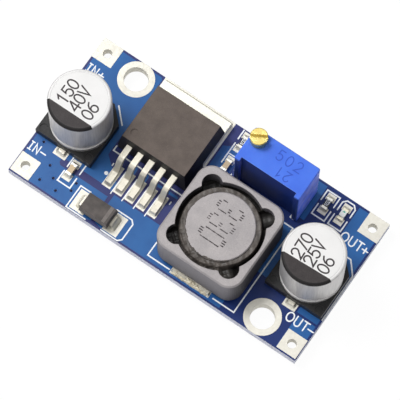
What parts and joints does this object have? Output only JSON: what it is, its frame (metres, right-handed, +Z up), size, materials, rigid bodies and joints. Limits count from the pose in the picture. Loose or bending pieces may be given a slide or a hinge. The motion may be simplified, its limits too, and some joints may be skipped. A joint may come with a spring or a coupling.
{
  "type": "step-down converter module",
  "caption": "Small blue step-down DC converter board with a tab-mounted regulator, shielded inductor, can capacitors and a multi-turn trimmer; plated corner holes.",
  "frame": {"origin": "centre of the two mounting holes' pattern, which is the centre of the board, on the board's underside", "axes": "+X along the board from the input end to the output end, +Y to the back edge, +Z up out of the component side"},
  "size_m": [0.0432, 0.021, 0.0138],
  "materials": {
    "solder_mask": "gloss lacquer on glass laminate",
    "tinned_copper": "satin tin",
    "solder": "smooth",
    "can_aluminium": "satin",
    "base_plastic": "matte",
    "tinned_lead": "satin tin",
    "ferrite": "lacquered ferrite",
    "enamelled_copper": "enamelled copper",
    "dark_glue": "gloss",
    "moulding_compound": "matte",
    "trimmer_plastic": "semi-gloss",
    "screw_brass": "turned",
    "seal_rubber": "matte",
    "rotor_plastic": "matte",
    "wiper_metal": "satin",
    "white_ceramic": "matte",
    "resistive_ink": "matte",
    "sealing_resin": "gloss",
    "tan_ceramic": "fired ceramic",
    "chip_metal": "satin tin",
    "resistor_glaze": "gloss glaze",
    "lamp_white": "matte",
    "lamp_resin": "clear moulded resin",
    "lamp_gold": "plated"
  },
  "bodies": {
    "module": {"board": "solder_mask", "wire_pads": "tinned_copper", "mounting_rings": "tinned_copper", "component_lands": "tinned_copper", "solder_fillets": "solder", "pin_solder": "solder", "input_capacitor_can": "can_aluminium", "input_capacitor_base": "base_plastic", "input_capacitor_minus_lead": "tinned_lead", "input_capacitor_plus_lead": "tinned_lead", "output_capacitor_can": "can_aluminium", "output_capacitor_base": "base_plastic", "output_capacitor_minus_lead": "tinned_lead", "output_capacitor_plus_lead": "tinned_lead", "inductor_shield": "ferrite", "inductor_core": "ferrite", "inductor_winding": "enamelled_copper", "inductor_glue": "dark_glue", "inductor_front_terminal": "tinned_lead", "inductor_back_terminal": "tinned_lead", "regulator_body": "moulding_compound", "regulator_tab": "tinned_lead", "regulator_lead_1": "tinned_lead", "regulator_lead_2": "tinned_lead", "regulator_lead_4": "tinned_lead", "regulator_lead_5": "tinned_lead", "trimmer_housing": "trimmer_plastic", "trimmer_substrate": "white_ceramic", "trimmer_track": "resistive_ink", "trimmer_resin": "sealing_resin", "trimmer_pin_1": "tinned_lead", "trimmer_pin_2": "tinned_lead", "trimmer_pin_3": "tinned_lead", "diode_body": "moulding_compound", "diode_cathode_lead": "tinned_lead", "diode_anode_lead": "tinned_lead", "input_chip_capacitor": "tan_ceramic", "input_chip_capacitor_ends": "chip_metal", "feedback_chip_capacitor": "tan_ceramic", "feedback_chip_capacitor_ends": "chip_metal", "feedback_resistor": "resistor_glaze", "feedback_resistor_ends": "chip_metal", "lamp_resistor": "resistor_glaze", "lamp_resistor_ends": "chip_metal", "lamp_base": "lamp_white", "lamp_lens": "lamp_resin", "lamp_ends": "lamp_gold"},
    "screw": {"trimmer_screw": "screw_brass", "trimmer_seal": "seal_rubber"},
    "rotor": {"trimmer_rotor": "rotor_plastic", "trimmer_wiper": "wiper_metal"}
  },
  "joints": [
    {"name": "trimmer_turn", "type": "hinge", "parent": "module", "child": "screw", "pos_m": [0.0035, 0.00778, 0.012], "axis": [0, 0, 1], "range_deg": [-4500, 4500]},
    {"name": "rotor_turn", "type": "hinge", "parent": "module", "child": "rotor", "pos_m": [0.00719, 0.00778, 0.0069], "axis": [0, 1, 0], "range_deg": [-141, 141]}
  ],
  "couplings": [
    {"joint": "rotor_turn", "follows": "trimmer_turn", "ratio": -0.03125}
  ]
}
